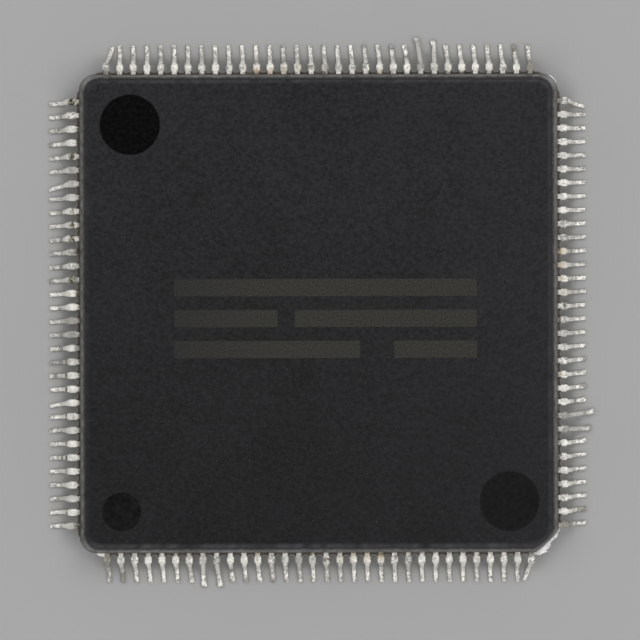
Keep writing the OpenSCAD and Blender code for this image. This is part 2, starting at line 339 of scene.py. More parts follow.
def start_material(name, **constants):
    """A material with its shader's fixed values set, and its coordinates in millimetres."""
    material = bpy.data.materials.new(name)
    material.use_nodes = True
    tree = material.node_tree
    shader = tree.nodes["Principled BSDF"]
    for key, value in constants.items():
        shader.inputs[key.replace("_", " ")].default_value = value
    place = add_node(tree, "ShaderNodeTexCoord", {}).outputs["Object"]
    scaled = add_node(tree, "ShaderNodeMapping", {"Vector": place, "Scale": (1 / MM, 1 / MM, 1 / MM)})
    return material, tree, shader, scaled.outputs["Vector"]


def noise_value(tree, place, size, detail=3.0, roughness=0.55):
    made = add_node(
        tree, "ShaderNodeTexNoise",
        {"Vector": place, "Scale": 1 / size, "Detail": detail, "Roughness": roughness}
    )
    return made.outputs["Fac"]


def between(tree, value, low, high, at_low=0.0, at_high=1.0):
    """Maps a value from one range to another, held at its ends."""
    made = add_node(
        tree, "ShaderNodeMapRange",
        {"Value": value, "From Min": low, "From Max": high, "To Min": at_low, "To Max": at_high},
        interpolation_type="SMOOTHSTEP"
    )
    return made.outputs["Result"]


def combine(tree, operation, a, b):
    return add_node(tree, "ShaderNodeMath", {0: a, 1: b}, operation=operation).outputs["Value"]


def blend(tree, share, first, second):
    made = add_node(tree, "ShaderNodeMix", {0: share, 6: first, 7: second}, data_type="RGBA")
    return made.outputs[2]


def vertex_value(tree, name):
    return add_node(tree, "ShaderNodeAttribute", {}, attribute_name=name).outputs["Fac"]


def set_look(tree, shader, colour, pattern, rough_low, rough_high):
    """Sets a colour, and a roughness that follows a noise pattern."""
    tree.links.new(colour, shader.inputs["Base Color"])
    roughness = between(tree, pattern, 0.3, 0.7, rough_low, rough_high)
    tree.links.new(roughness, shader.inputs["Roughness"])


def set_bump(tree, shader, height, depth):
    made = add_node(tree, "ShaderNodeBump", {"Height": height, "Distance": depth * MM, "Strength": 1.0})
    tree.links.new(made.outputs["Normal"], shader.inputs["Normal"])


def grey(level, warmth=0.0):
    return (level * (1 + warmth), level, level * (1 - warmth), 1)


def cool(level):
    return (level, level, level * 1.13, 1)


# Materials


FADED_COMPOUND = cool(0.012)
# Painted shade, laid on the foot of the wall and beside the leads of one row.
PAINTED_SHADE = (0.02, 0.017, 0.014, 1)
LASER_OLIVE = (0.036, 0.035, 0.026, 1)
DARK_RESIN = (0.02, 0.015, 0.011, 1)
LIGHT_RESIN = (0.075, 0.058, 0.043, 1)
# Painted highlight on the rim of the resin flash.
PAINTED_RIM_HIGHLIGHT = (0.24, 0.21, 0.18, 1)
BRIGHT_TIN = (0.94, 0.922, 0.86, 1)
DULL_TIN = (0.37, 0.36, 0.335, 1)
PITTED_TIN = (0.07, 0.064, 0.053, 1)
AMBER_FLUX = (0.52, 0.4, 0.22, 1)
BROWNED_TIN = (0.24, 0.22, 0.17, 1)
# Darkest stain colour, also used for painted shade at the bend of some leads.
BURNT_TIN_AND_SHADE = (0.045, 0.041, 0.03, 1)
BLUE_SILICON = (0.1, 0.11, 0.15, 1)
VIOLET_SILICON = (0.15, 0.14, 0.17, 1)
DEEP_GOLD = (0.74, 0.5, 0.16, 1)
PALE_GOLD = (0.9, 0.68, 0.28, 1)


def painted_sheen_slope(tree, place):
    """Painted light over the top: a painted sheen that grows towards the back and the right, and a little
    towards both sides.
    """
    slope, bow = (0.012, 0.009, 0), 0.003
    aim = add_node(tree, "ShaderNodeVectorMath", {0: place, 1: slope}, operation="DOT_PRODUCT")
    along = add_node(tree, "ShaderNodeSeparateXYZ", {"Vector": place}).outputs["X"]
    bowed = combine(tree, "MULTIPLY", combine(tree, "MULTIPLY", along, along), bow)
    return combine(tree, "ADD", aim.outputs["Value"], bowed)


def compound_material(
    name, dark, light, rough, bump_depth, grain=0.11,
    specular=0.2, spread=0.2, drawn=1.0, dust=0.06, pale=None, painted_sheen=False
):
    """Filled moulding compound as one finish of the mould leaves it: mottled, with a fine grain and pores.
    A small spread makes the mottling strong. Drawn stretches it upwards, as the mould drags it on a wall,
    which fades into the top at its edge and gets painted shade at its foot and beside leads. Dust is how pale
    its specks are, and pale is what rubbing and painted light turn it to. A painted sheen adds painted light
    to the top, lighter towards the back and the right, with a weaker and darker mottle towards the front."""
    cloud_size, pore_size, speck_size, bump_size = 2.2, grain * 0.7, 0.05, grain / 2.5
    material, tree, shader, place = start_material(name, Specular_IOR_Level=specular)
    stretched = add_node(tree, "ShaderNodeMapping", {"Vector": place, "Scale": (1, 1, 1 / drawn)})
    place = stretched.outputs["Vector"]
    mottle = noise_value(tree, place, grain, 4, 0.65)
    cloud = noise_value(tree, place, cloud_size, 2)
    mottled = between(tree, mottle, 0.5 - spread, 0.5 + spread, 0, 0.9)
    pores = between(tree, noise_value(tree, place, pore_size, 2, 0.6), 0.38, 0.26, 0, 0.6)
    share = combine(tree, "SUBTRACT", mottled, pores)
    # Painted light: the mottle weakens and darkens towards the front, and a painted sheen lightens the back
    # and the right.
    if painted_sheen:
        along = add_node(tree, "ShaderNodeSeparateXYZ", {"Vector": place}).outputs["Y"]
        share = combine(tree, "MULTIPLY", share, between(tree, along, -EDGE, EDGE, 0.65, 1))
        share = combine(tree, "ADD", share, painted_sheen_slope(tree, place))
    share = combine(tree, "ADD", share, between(tree, cloud, 0.3, 0.7, 0, 0.12))
    specks = between(tree, noise_value(tree, place, speck_size, 2), 0.66, 0.76)
    colour = blend(tree, share, dark, light)
    if pale:
        colour = blend(tree, vertex_value(tree, "rubbed_and_painted_light"), colour, pale)
    colour = blend(tree, specks, colour, grey(dust))
    # On a wall: faded into the top near its edge, and painted shade at its foot and beside leads.
    if drawn > 1:
        colour = blend(tree, vertex_value(tree, "faded"), colour, FADED_COMPOUND)
        colour = blend(tree, vertex_value(tree, "painted_shade"), colour, PAINTED_SHADE)
    set_look(tree, shader, colour, mottle, rough - 0.06, rough + 0.06)
    set_bump(tree, shader, noise_value(tree, place, bump_size, 4, 0.6), bump_depth)
    return material


def laser_material():
    """Where a laser has burnt the compound to a dull olive, worn towards the left."""
    material, tree, shader, place = start_material(
        "laser_marked_compound", Roughness=0.7, Specular_IOR_Level=0.25
    )
    along = add_node(tree, "ShaderNodeSeparateXYZ", {"Vector": place}).outputs["X"]
    worn = between(tree, along, -5, -1, 0.4, 1)
    dots = between(tree, noise_value(tree, place, 0.05, 3, 0.7), 0.3, 0.65)
    share = combine(tree, "MULTIPLY", worn, dots)
    tree.links.new(blend(tree, share, FADED_COMPOUND, LASER_OLIVE), shader.inputs["Base Color"])
    set_bump(tree, shader, dots, 0.004)
    return material


def flash_material():
    """Thin resin squeezed out along the leads, brown from flux in its hollows, with a painted highlight on
    its rim where its rounded edge would catch the light.
    """
    material, tree, shader, place = start_material("resin_flash", Specular_IOR_Level=0.4)
    stains = noise_value(tree, place, 0.12, 3)
    resin = blend(tree, between(tree, stains, 0.35, 0.65), DARK_RESIN, LIGHT_RESIN)
    # Painted highlight along the rim, where its rounded edge would catch the light, broken up by the stains.
    rim = combine(tree, "MULTIPLY", vertex_value(tree, "rim"), between(tree, stains, 0.2, 0.7, 1, 0.5))
    set_look(tree, shader, blend(tree, rim, resin, PAINTED_RIM_HIGHLIGHT), stains, 0.35, 0.6)
    set_bump(tree, shader, noise_value(tree, place, 0.03), 0.004)
    return material


def tin_material():
    """Matt tin with old solder, grey pits and flux stains, and painted shade in the crease at the bend of
    some leads.
    """
    material, tree, shader, place = start_material("tinned_lead", Metallic=0.6, Specular_IOR_Level=0.5)
    patches = noise_value(tree, place, 0.11, 4, 0.65)
    worn = combine(tree, "MULTIPLY", between(tree, patches, 0.34, 0.6, 1, 0), vertex_value(tree, "wear"))
    tone = combine(tree, "ADD", worn, vertex_value(tree, "dull"))
    grain = between(tree, noise_value(tree, place, 0.035, 2, 0.6), 0.42, 0.7, 0, 0.26)
    tin = blend(tree, combine(tree, "ADD", tone, grain), BRIGHT_TIN, DULL_TIN)
    holes = between(tree, noise_value(tree, place, 0.05, 3, 0.7), 0.58, 0.65, 0, 1.7)
    pits = combine(tree, "MULTIPLY", holes, vertex_value(tree, "wear"))
    pitted = blend(tree, pits, tin, PITTED_TIN)
    spots = noise_value(tree, place, 0.08, 3)
    flux = combine(tree, "MULTIPLY", vertex_value(tree, "flux"), between(tree, spots, 0.3, 0.6, 0.6, 1))
    amber = blend(tree, flux, pitted, AMBER_FLUX)
    spread = between(tree, spots, 0.38, 0.6, 0.35, 1.1)
    stain = combine(tree, "MULTIPLY", vertex_value(tree, "stain"), spread)
    halo = blend(tree, between(tree, stain, 0, 0.5), amber, BROWNED_TIN)
    # Strong values turn the tin dark: real stains, and painted shade in the crease at some bends.
    burnt_and_shaded = blend(tree, between(tree, stain, 0.4, 0.9), halo, BURNT_TIN_AND_SHADE)
    set_look(tree, shader, burnt_and_shaded, patches, 0.68, 0.52)
    set_bump(tree, shader, noise_value(tree, place, 0.05, 4, 0.65), 0.007)
    return material


def torn_metal_material():
    """The lead frame's own metal, dull where the compound held it and bright where it was torn."""
    material, tree, shader, place = start_material("lead_frame_metal", Metallic=0.6)
    fibres = noise_value(tree, place, 0.12, 4, 0.6)
    metal = blend(tree, between(tree, fibres, 0.3, 0.7), grey(0.55, 0.02), grey(0.9, 0.01))
    gate = math.hypot(GATE_DISTANCE, LEAD_TOP)
    out = add_node(tree, "ShaderNodeVectorMath", {0: place}, operation="LENGTH").outputs["Value"]
    held = between(tree, out, gate - 0.02, gate + 0.12, 0.4, 0)
    film = combine(tree, "MAXIMUM", held, vertex_value(tree, "film"))
    set_look(tree, shader, blend(tree, film, metal, grey(0.05, 0.02)), fibres, 0.3, 0.55)
    set_bump(tree, shader, fibres, 0.006)
    return material


def adhesive_material():
    """Silver-filled adhesive with its flakes."""
    material, tree, shader, place = start_material("silver_adhesive", Metallic=0.3)
    flakes = noise_value(tree, place, 0.03, 2)
    set_look(tree, shader, blend(tree, flakes, grey(0.3), grey(0.62)), flakes, 0.4, 0.7)
    set_bump(tree, shader, flakes, 0.004)
    return material


def silicon_material():
    """Polished silicon with the faint tints of its layers."""
    material, tree, shader, place = start_material("silicon", Metallic=0.4)
    blocks = add_node(tree, "ShaderNodeTexVoronoi", {"Vector": place, "Scale": 1.6}, distance="CHEBYCHEV")
    tint = between(tree, blocks.outputs["Distance"], 0.1, 0.6)
    haze = noise_value(tree, place, 0.4)
    set_look(tree, shader, blend(tree, tint, BLUE_SILICON, VIOLET_SILICON), haze, 0.12, 0.25)
    return material


def gold_material():
    material, tree, shader, place = start_material("gold_wire", Metallic=1.0)
    drawn = noise_value(tree, place, 0.08, 2)
    set_look(tree, shader, blend(tree, drawn, DEEP_GOLD, PALE_GOLD), drawn, 0.2, 0.35)
    return material


def floor_material():
    material, tree, shader, place = start_material("pale_floor", Roughness=0.8, Specular_IOR_Level=0.2)
    cloud = noise_value(tree, place, 6, 2)
    tree.links.new(blend(tree, cloud, grey(0.39), grey(0.41)), shader.inputs["Base Color"])
    return material


# Body


CORNER_STEPS = 14
SIDE_STEPS = 256
# Inset, height and raggedness of the body's ring at the upper parting line
PARTING = (0, LEAD_TOP, 0)
FIELD, WALL, BAND, POLISHED, SATIN, INDEX, LASER, UNDERSIDE = range(8)

# How much the body is rubbed pale on the back, left, front and right: on the narrow band along the top, on
# the edge beside that, and at the foot of the wall. Painted shade lies at that foot too, where the flash and
# the roots of the leads shade it. The corners of the wall are paler as well, from the back right one on:
# rubbed, and at the back right a painted highlight. Painted light lies on the wall beside the gaps between
# leads, where light comes up between them, and painted shade beside the leads of one row, which block it.
BAND_RUBBED = [0.8, 0.2, 1, 0.6]
EDGE_RUBBED = [0.1, 0.3, 0.8, 0.2]
FOOT_RUBBED = [0, 0, 0.25, 0.25]
FOOT_PAINTED_SHADE = [0.6, 1, 0, 0]
CORNER_RUBBED_AND_HIGHLIGHT = [0.9, 0.9, 0.5, 0.2]
GAP_PAINTED_LIGHT = [1.05, 1.4, 1.03, 0.83]
LEAD_PAINTED_SHADE = [0, 1, 0, 0]
GATE_ALONE = [0, 0, 0, 1]


def wall_inset(draft):
    """How far a wall leans in between the parting line and the top."""
    return (BODY_TOP - LEAD_TOP) * math.tan(draft)


def body_outline(inset):
    """The body seen from above, drawn in by an inset: three round corners and the blunt gate corner.
    The front and back walls lean in less than the other two."""
    side, end = wall_inset(WALL_DRAFT), wall_inset(END_WALL_DRAFT)
    reach_x = EDGE - inset
    reach_y = EDGE - inset + (side - end) * min(1, inset / side)
    radius = CORNER_RADIUS - inset / 2
    x, y = reach_x - radius, reach_y - radius
    cut = GATE_CUT - GATE_CUT_SHRINK * inset
    handle = GATE_ROUNDING * cut
    curve = [
        (reach_x - cut, -reach_y), (reach_x - cut + handle, -reach_y),
        (reach_x, -reach_y + cut - handle), (reach_x, -reach_y + cut)
    ]
    knots = [Vector((*point, 0)) for point in curve]
    corners = [
        arc((x, y), radius, 0, 90, CORNER_STEPS), arc((-x, y), radius, 90, 180, CORNER_STEPS),
        arc((-x, -y), radius, 180, 270, CORNER_STEPS),
        [tuple(p.xy) for p in interpolate_bezier(*knots, CORNER_STEPS + 1)]
    ]
    points = []
    for corner, following in zip(corners, corners[1:] + corners[:1]):
        (x0, y0), (x1, y1) = corner[-1], following[0]
        points += corner
        shares = [k / SIDE_STEPS for k in range(1, SIDE_STEPS)]
        points += [(x0 + (x1 - x0) * t, y0 + (y1 - y0) * t) for t in shares]
    return points


def ragged_outline(inset, ragged):
    """An outline whose inset strays a little, as the edge of a moulding does."""
    step = 0.01
    points = []
    for (x, y), (inner_x, inner_y), (at_x, at_y) in zip(
        body_outline(inset), body_outline(inset + step), body_outline(0)
    ):
        stray = sum(reach * ripple(at_x, at_y, seed, width) for reach, seed, width in EDGE_WAVES)
        share = ragged * stray / step
        points.append((x + (inner_x - x) * share, y + (inner_y - y) * share))
    return points


def edge_profile():
    """Insets, heights and raggedness of the body's rings, from the underside to the field of the top."""
    wall = wall_inset(WALL_DRAFT)
    start, end = wall - EDGE_FILLET * math.tan(WALL_DRAFT), wall + EDGE_FILLET
    steps = 5
    fillet = []
    for k in range(steps + 1):
        t = k / steps
        inset = (1 - t) ** 2 * start + 2 * t * (1 - t) * wall + t * t * end
        fillet.append((inset, (1 - t) ** 2 * EDGE_FILLET))
    under = [(inset, STANDOFF + drop, 0.5) for inset, drop in reversed(fillet)]
    over = [(inset, BODY_TOP - BAND_RISE - drop, 1) for inset, drop in fillet]
    ledge = wall + EDGE_FILLET + LEDGE_WIDTH
    band = [
        (ledge, BODY_TOP - BAND_RISE, 0.8), (ledge + BAND_WIDTH * 0.4, BODY_TOP - BAND_RISE * 0.3, 0.6),
        (ledge + BAND_WIDTH, BODY_TOP, 0.3)
    ]
    parting = [(0, LEAD_LOW, 0), PARTING]
    rises = [FOOT_OF_WALL, 2 * FOOT_OF_WALL]
    foot = [(rise * math.tan(WALL_DRAFT), LEAD_TOP + rise, 0) for rise in rises]
    return under + parting + foot + over + band


def add_ring(bm, points, z):
    return [bm.verts.new((x, y, z)) for x, y in points]


def bridge(bm, low, high, finish):
    count = len(low)
    for k in range(count):
        n = (k + 1) % count
        face = bm.faces.new((low[k], low[n], high[n], high[k]))
        face.material_index = finish
        face.smooth = True


def ring_edges(bm, ring):
    edges = []
    for a, b in zip(ring, ring[1:] + ring[:1]):
        edges.append(bm.edges.get((a, b)) or bm.edges.new((a, b)))
    return edges


def add_round_mark(bm, place, z, radius, inward, kind, finish):
    """A shallow round recess, crisp or soft, with a curved lip. Returns its rim."""
    x, y = place
    lip, depth, ragged = kind
    steps, count, wave_size = 6, 144, 0.06
    rings = []
    for k in range(steps + 1):
        t = k / steps
        circle = []
        for n in range(count):
            a = 2 * math.pi * n / count
            wave = ragged * ripple(math.cos(a) * radius, math.sin(a) * radius, x, wave_size)
            r = radius + lip * (1 - 2 * t) + wave
            circle.append((x + r * math.cos(a), y + r * math.sin(a)))
        rings.append(add_ring(bm, circle, z + inward * smooth_step(0, 1, t) * depth))
    for k, (outer, inner) in enumerate(zip(rings, rings[1:])):
        pair = (outer, inner) if inward < 0 else (inner, outer)
        bridge(bm, *pair, finish if k >= steps / 2 else FIELD)
    floor = bm.faces.new(rings[-1] if inward < 0 else rings[-1][::-1])
    floor.material_index = finish
    return rings[0]


def add_bar(bm, x, y, length, height, finish):
    corners = [(x - length / 2, y - height / 2), (x + length / 2, y - height / 2)]
    corners += [(x + length / 2, y + height / 2), (x - length / 2, y + height / 2)]
    ring = add_ring(bm, corners, BODY_TOP)
    bm.faces.new(ring).material_index = finish
    return ring


def fill_face(bm, rings, up, finish):
    """Fills the flat face between an outer ring and the rings inside it."""
    edges = [edge for ring in rings for edge in ring_edges(bm, ring)]
    made = bmesh.ops.triangle_fill(bm, use_beauty=True, edges=edges, normal=(0, 0, up))
    for item in made["geom"]:
        if isinstance(item, bmesh.types.BMFace):
            item.material_index = finish
            item.smooth = False
            item.normal_update()
            if item.normal.z * up < 0:
                item.normal_flip()


def body_materials():
    return [
        compound_material("compound_top", cool(0.002), cool(0.021), 0.62, 0.005, specular=0.165, painted_sheen=True),
        compound_material(
            "compound_wall", grey(0.022, 0.03), grey(0.131, 0.03), 0.5, 0.006, 0.1,
            specular=0.4, spread=0.15, drawn=3, dust=0.4, pale=grey(0.28, 0.02)
        ),
        compound_material(
            "compound_band", cool(0.002), cool(0.021), 0.62, 0.005,
            specular=0.165, pale=cool(0.05), painted_sheen=True
        ),
        compound_material(
            "compound_polished_mark", grey(0.002), grey(0.003), 0.2, 0.0004, specular=0.07, dust=0.006
        ),
        compound_material(
            "compound_satin_mark", cool(0.003), cool(0.007), 0.4, 0.002, specular=0.075, dust=0.02
        ),
        compound_material(
            "compound_index_mark", grey(0.0005), grey(0.01), 0.5, 0.003, 0.16, specular=0.06, dust=0.03
        ),
        laser_material(),
        compound_material("compound_underside", grey(0.01), grey(0.024), 0.6, 0.004)
    ]


def corner_values(corners):
    """Values for a ring of the body that rise in the middle of each corner."""
    values = []
    for most in corners:
        values += [most * math.sin(math.pi * k / CORNER_STEPS) for k in range(CORNER_STEPS + 1)]
        values += [0] * (SIDE_STEPS - 1)
    return values


def side_values(sides):
    """Values for a ring of the body, one for each side, that come and go along it."""
    values = []
    for before, after in zip(sides[-1:] + sides, sides):
        values += [before + (after - before) * k / CORNER_STEPS for k in range(CORNER_STEPS + 1)]
        values += [after] * (SIDE_STEPS - 1)
    level, long_waves, short_waves = 0.7, 0.7, 0.25
    uneven = []
    for value, (x, y) in zip(values, body_outline(0)):
        stray = level + level * ripple(x, y, 2, long_waves) + level * ripple(x, y, 7, short_waves)
        uneven.append(value * max(0, stray))
    return uneven


def gap_values(sides, beside_leads=False):
    """Such values that rise beside each gap between two leads, or else beside each lead."""
    level, swing = 0.5, 0.25
    values = []
    for value, (x, y) in zip(side_values(sides), body_outline(0)):
        along = x if abs(y) > abs(x) else y
        wave = swing * math.cos(2 * math.pi * along / PITCH)
        values.append(value * (level - wave if beside_leads else level + wave))
    return values


def set_values(ring, layer, values):
    """Raises the values of a ring's vertices to these, where they are lower."""
    for vertex, value in zip(ring, values):
        vertex[layer] = max(vertex[layer], value)


def rub_wall_and_paint_light_and_shade(rings, parting, rubbed_and_painted_light, painted_shade):
    """Rubs the wall and paints light and shade on it, from the ring of the parting line up to the rounding of
    its upper edge: painted shade at its foot, painted light beside the gaps between leads and painted shade
    beside the leads of one row.
    """
    set_values(rings[parting], rubbed_and_painted_light, side_values(FOOT_RUBBED))
    set_values(rings[parting], painted_shade, side_values(FOOT_PAINTED_SHADE))
    set_values(rings[parting + 1], rubbed_and_painted_light, gap_values([value / 2 for value in GAP_PAINTED_LIGHT]))
    set_values(rings[parting + 1], painted_shade, side_values([value / 2 for value in FOOT_PAINTED_SHADE]))
    # Painted light beside the gaps between leads, and painted shade beside the leads of one row.
    for ring in rings[parting + 2:parting + 4]:
        set_values(ring, rubbed_and_painted_light, gap_values(GAP_PAINTED_LIGHT))
        set_values(ring, painted_shade, gap_values(LEAD_PAINTED_SHADE, True))


def rub_and_highlight_edges(rings, rubbed_and_painted_light, faded):
    """Rubs the band along the top, the edge beside it and the corners, with a painted highlight on the back
    right corner, and fades the wall into the top.
    """
    at_gate = corner_values(GATE_ALONE)
    fade_steps = 4
    band = [value * (1 - gate) for value, gate in zip(side_values(BAND_RUBBED), at_gate)]
    set_values(rings[-2], rubbed_and_painted_light, band)
    set_values(rings[-3], rubbed_and_painted_light, side_values(EDGE_RUBBED))
    for k, ring in enumerate(reversed(rings[:-3])):
        # Rubbed corners, with a painted highlight on the back right one.
        set_values(ring, rubbed_and_painted_light, corner_values(CORNER_RUBBED_AND_HIGHLIGHT))
        gate_fade = smooth_step(LEAD_TOP, BODY_TOP, ring[0].co.z)
        set_values(ring, faded, [max(1 - k / fade_steps, gate * gate_fade) for gate in at_gate])


def add_top(bm, rim):
    marks = [
        add_round_mark(bm, CRISP_PLACE, BODY_TOP, EJECTOR_RADIUS, -1, CRISP, POLISHED),
        add_round_mark(bm, SOFT_PLACE, BODY_TOP, EJECTOR_RADIUS, -1, SOFT, SATIN),
        add_round_mark(bm, INDEX_PLACE, BODY_TOP, INDEX_RADIUS, -1, SOFT, INDEX)
    ]
    bars = [add_bar(bm, *bar, LASER) for bar in MARK_BARS]
    fill_face(bm, [rim] + marks + bars, 1, FIELD)


def add_underside(bm, rim):
    places = [CRISP_PLACE, SOFT_PLACE]
    marks = [add_round_mark(bm, place, STANDOFF, EJECTOR_RADIUS, 1, CRISP, SATIN) for place in places]
    fill_face(bm, [rim] + marks, -1, UNDERSIDE)


def make_body():
    bm = bmesh.new()
    rubbed_and_painted_light, faded, painted_shade = (bm.verts.layers.float.new(name) for name in ["rubbed_and_painted_light", "faded", "painted_shade"])
    profile = edge_profile()
    rings = [add_ring(bm, ragged_outline(inset, ragged), z) for inset, z, ragged in profile]
    rub_wall_and_paint_light_and_shade(rings, profile.index(PARTING), rubbed_and_painted_light, painted_shade)
    rub_and_highlight_edges(rings, rubbed_and_painted_light, faded)
    band_steps = 3
    finishes = [WALL] * (len(rings) - 1 - band_steps) + [BAND] * band_steps
    for low, high, finish in zip(rings, rings[1:], finishes):
        bridge(bm, low, high, finish)
    add_top(bm, rings[-1])
    add_underside(bm, rings[0])
    bmesh.ops.scale(bm, vec=(MM, MM, MM), verts=bm.verts)
    mesh = bpy.data.meshes.new("molded_package_body")
    bm.to_mesh(mesh)
    bm.free()
    for material in body_materials():
        mesh.materials.append(material)
    body = place_piece("molded_package_body", mesh)
    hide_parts("molded_body")


def add_web(shape, row, start, end, reaches):
    """A web along the body's side, from one place to another, that reaches out by three values in turn."""
    steps, hollow, wave, wave_size = 10, 2.4, 0.006, 0.06
    first, middle, last = reaches
    rings = []
    for k in range(steps + 1):
        t = k / steps
        s = start + (end - start) * t
        side = first if t < 0.5 else last
        smooth_out = EDGE + middle + (side - middle) * abs(2 * t - 1) ** hollow
        out = smooth_out + wave * ripple(s, row, 0, wave_size)
        section = [(EDGE - WEB_INSIDE, LEAD_LOW, 0)]
        section += [(out - inset, z, rim) for inset, z, rim in WEB_EDGE]
        section.append((EDGE - WEB_INSIDE, LEAD_TOP - WEB_SAG, 0))
        rings.append([shape.add(in_row(row, s, u, z), rim=rim) for u, z, rim in section])
    shape.loft(rings[::-1])


def make_flash():
    """Resin in each gap of each row, but not beside the torn metal at the gate. The gap before the first lead
    holds bright solder on the front row."""
    shape = Shape()
    chance = random.Random(3)
    half = ROOT_WIDTH / 2
    past = 0.02
    left_out = [(0, 0), (0, LEADS_PER_SIDE), (1, 0)]
    for row in range(4):
        for gap in range(LEADS_PER_SIDE + 1):
            if (row, gap) in left_out:
                continue
            middle = (gap - LEADS_PER_SIDE / 2) * PITCH
            start = middle - PITCH / 2 + half - past
            end = middle + PITCH / 2 - half + past
            first, last = (FLASH_REACH * chance.uniform(*REACH_CHANCE) for _ in range(2))
            if gap == 0:
                start, first = middle - CORNER_TAIL, 0
            if gap == LEADS_PER_SIDE:
                end, last = middle + CORNER_TAIL, 0
            notch = FLASH_NOTCH * chance.uniform(*NOTCH_CHANCE)
            add_web(shape, row, start, end, (first, notch, last))
    flash = shape.make("resin_flash", flash_material())


def make_solder_sliver(tin):
    """A bright sliver of metal beside the first lead of the front row."""
    shape = Shape()
    length, past, middle_reach = 0.24, 0.03, 0.085
    lead_side = root_place(0) - ROOT_WIDTH / 2
    add_web(shape, 0, lead_side - length, lead_side + past, (0, middle_reach, FLASH_REACH))
    sliver = shape.make("solder_sliver", tin)


# Leads


def root_place(place):
    return (place - MIDDLE_PLACE) * PITCH


def foot_set(row, place):
    """How far along its row a foot has been pushed."""
    share = min(1, max(0, (place - EARLY_LAST) / (LATE_FIRST - EARLY_LAST)))
    plain = EARLY_SET + (LATE_SET - EARLY_SET) * share
    return SWEPT.get((row, place), plain) * FOOT_GAP


def lead_path(tilt, short):
    """A lead's middle line seen from the side: distance out, height, and the upper side's direction."""
    turn = 90 - LEG_TILT
    bends = SHOULDER_RADIUS + HEEL_RADIUS
    lean = math.radians(LEG_TILT)
    leg = (LEAD_LOW - bends * (1 - math.cos(math.radians(turn)))) / math.cos(lean)
    heel_end = SHOULDER_LENGTH + bends * math.cos(lean) + leg * math.sin(lean)
    foot = LEAD_REACH - heel_end - short
    leg += bends * math.radians(tilt - LEG_TILT)
    slope = math.radians(tilt)
    shoulder = (EDGE + SHOULDER_LENGTH, LEAD_MID - SHOULDER_RADIUS)
    heel = (
        shoulder[0] + bends * math.cos(slope) + leg * math.sin(slope),
        shoulder[1] + bends * math.sin(slope) - leg * math.cos(slope)
    )
    stations = [(RING, LEAD_MID, 90)] + [(EDGE + out, LEAD_MID, 90) for out in ROOT_STATIONS]
    for k in range(SHOULDER_STEPS + 1):
        angle = 90 + (tilt - 90) * k / SHOULDER_STEPS
        stations.append((*on_circle(shoulder, SHOULDER_RADIUS, angle), angle))
    first, last = stations[-1], on_circle(heel, HEEL_RADIUS, 180 + tilt)
    for k in range(1, LEG_STEPS):
        t = k / LEG_STEPS
        stations.append((first[0] + (last[0] - first[0]) * t, first[1] + (last[1] - first[1]) * t, tilt))
    for k in range(HEEL_STEPS + 1):
        angle = tilt + (90 - tilt) * k / HEEL_STEPS
        stations.append((*on_circle(heel, -HEEL_RADIUS, angle), angle))
    for k in range(1, FOOT_STEPS + 1):
        stations.append((heel[0] + foot * k / FOOT_STEPS, heel[1] - HEEL_RADIUS, 90))
    return stations


def section_points():
    """A lead's section, anticlockwise: the side and level of each corner, and the way its rounding faces."""
    steps = 3
    points = []
    for side, up, start in [(1, 1, 0), (-1, 1, 90), (-1, -1, 180), (1, -1, 270)]:
        for k in range(steps + 1):
            a = math.radians(start + 90 * k / steps)
            points.append((side, up, math.cos(a), math.sin(a)))
    return points


def lead_place(place, u, lean):
    """Where a lead's middle lies along its row, at a distance from the middle of the body."""
    out = u - EDGE
    if out < -STRAIGHT_INSIDE:
        share = (u - RING) / (EDGE - STRAIGHT_INSIDE - RING)
        return (place - MIDDLE_PLACE) * (RING_PITCH + (PITCH - RING_PITCH) * share)
    return root_place(place) + lean * max(0, out - LEAN_START)


def half_width(row, out, fullness, longer):
    """Half the width of a row's lead on one side at a distance from the body."""
    if out < -STRAIGHT_INSIDE:
        share = (out + EDGE - RING) / (EDGE - STRAIGHT_INSIDE - RING)
        return (TIP_WIDTH + (ROOT_WIDTH - TIP_WIDTH) * share) / 2
    starts, full, ends, gone = STUBS[row]
    ends, gone = ends + longer, gone + longer
    slim = ROOT_WIDTH + (FOOT_WIDTH - ROOT_WIDTH) * smooth_step(ends, gone, out)
    wide = smooth_step(starts, full, out) - smooth_step(ends, gone, out)
    return slim / 2 + (STUB_WIDTH - ROOT_WIDTH) / 2 * wide * fullness


def soiling(row, place, along, dullness):
    """How stained, dull and worn a lead is at a distance along it, with a dullness of its own, and where
    painted shade lies in the crease at its bend.
    The legs are worn least, and the feet most, above all in the left row and at the toes of the others."""
    on_stub = smooth_step(*STUB_ENDS, along)
    on_foot = smooth_step(*FOOT_BEGINS, along)
    on_toe = smooth_step(*TOE_BEGINS, along)
    wear, blotches = ALIKE_WEAR, ALIKE_BLOTCHES
    if row == LEFT_ROW:
        wear, blotches = LEFT_WEAR, LEFT_BLOTCHES
    values = {
        "stain": wear["root_stain"] * bell(along, ROOT_STAIN_PLACE, ROOT_STAIN_LENGTH), "flux": 0,
        "dull": dullness + wear["greyed"] * (on_stub + on_foot) + TOE_DULLING * wear["toe"] * on_toe,
        "wear": wear["leg"] + STUB_WEAR * on_stub + wear["foot"] * on_foot + wear["toe"] * on_toe
    }
    for kind, middle, length, strength in blotches.get(place, []):
        values[kind] += strength * bell(along, middle, length)
    return values


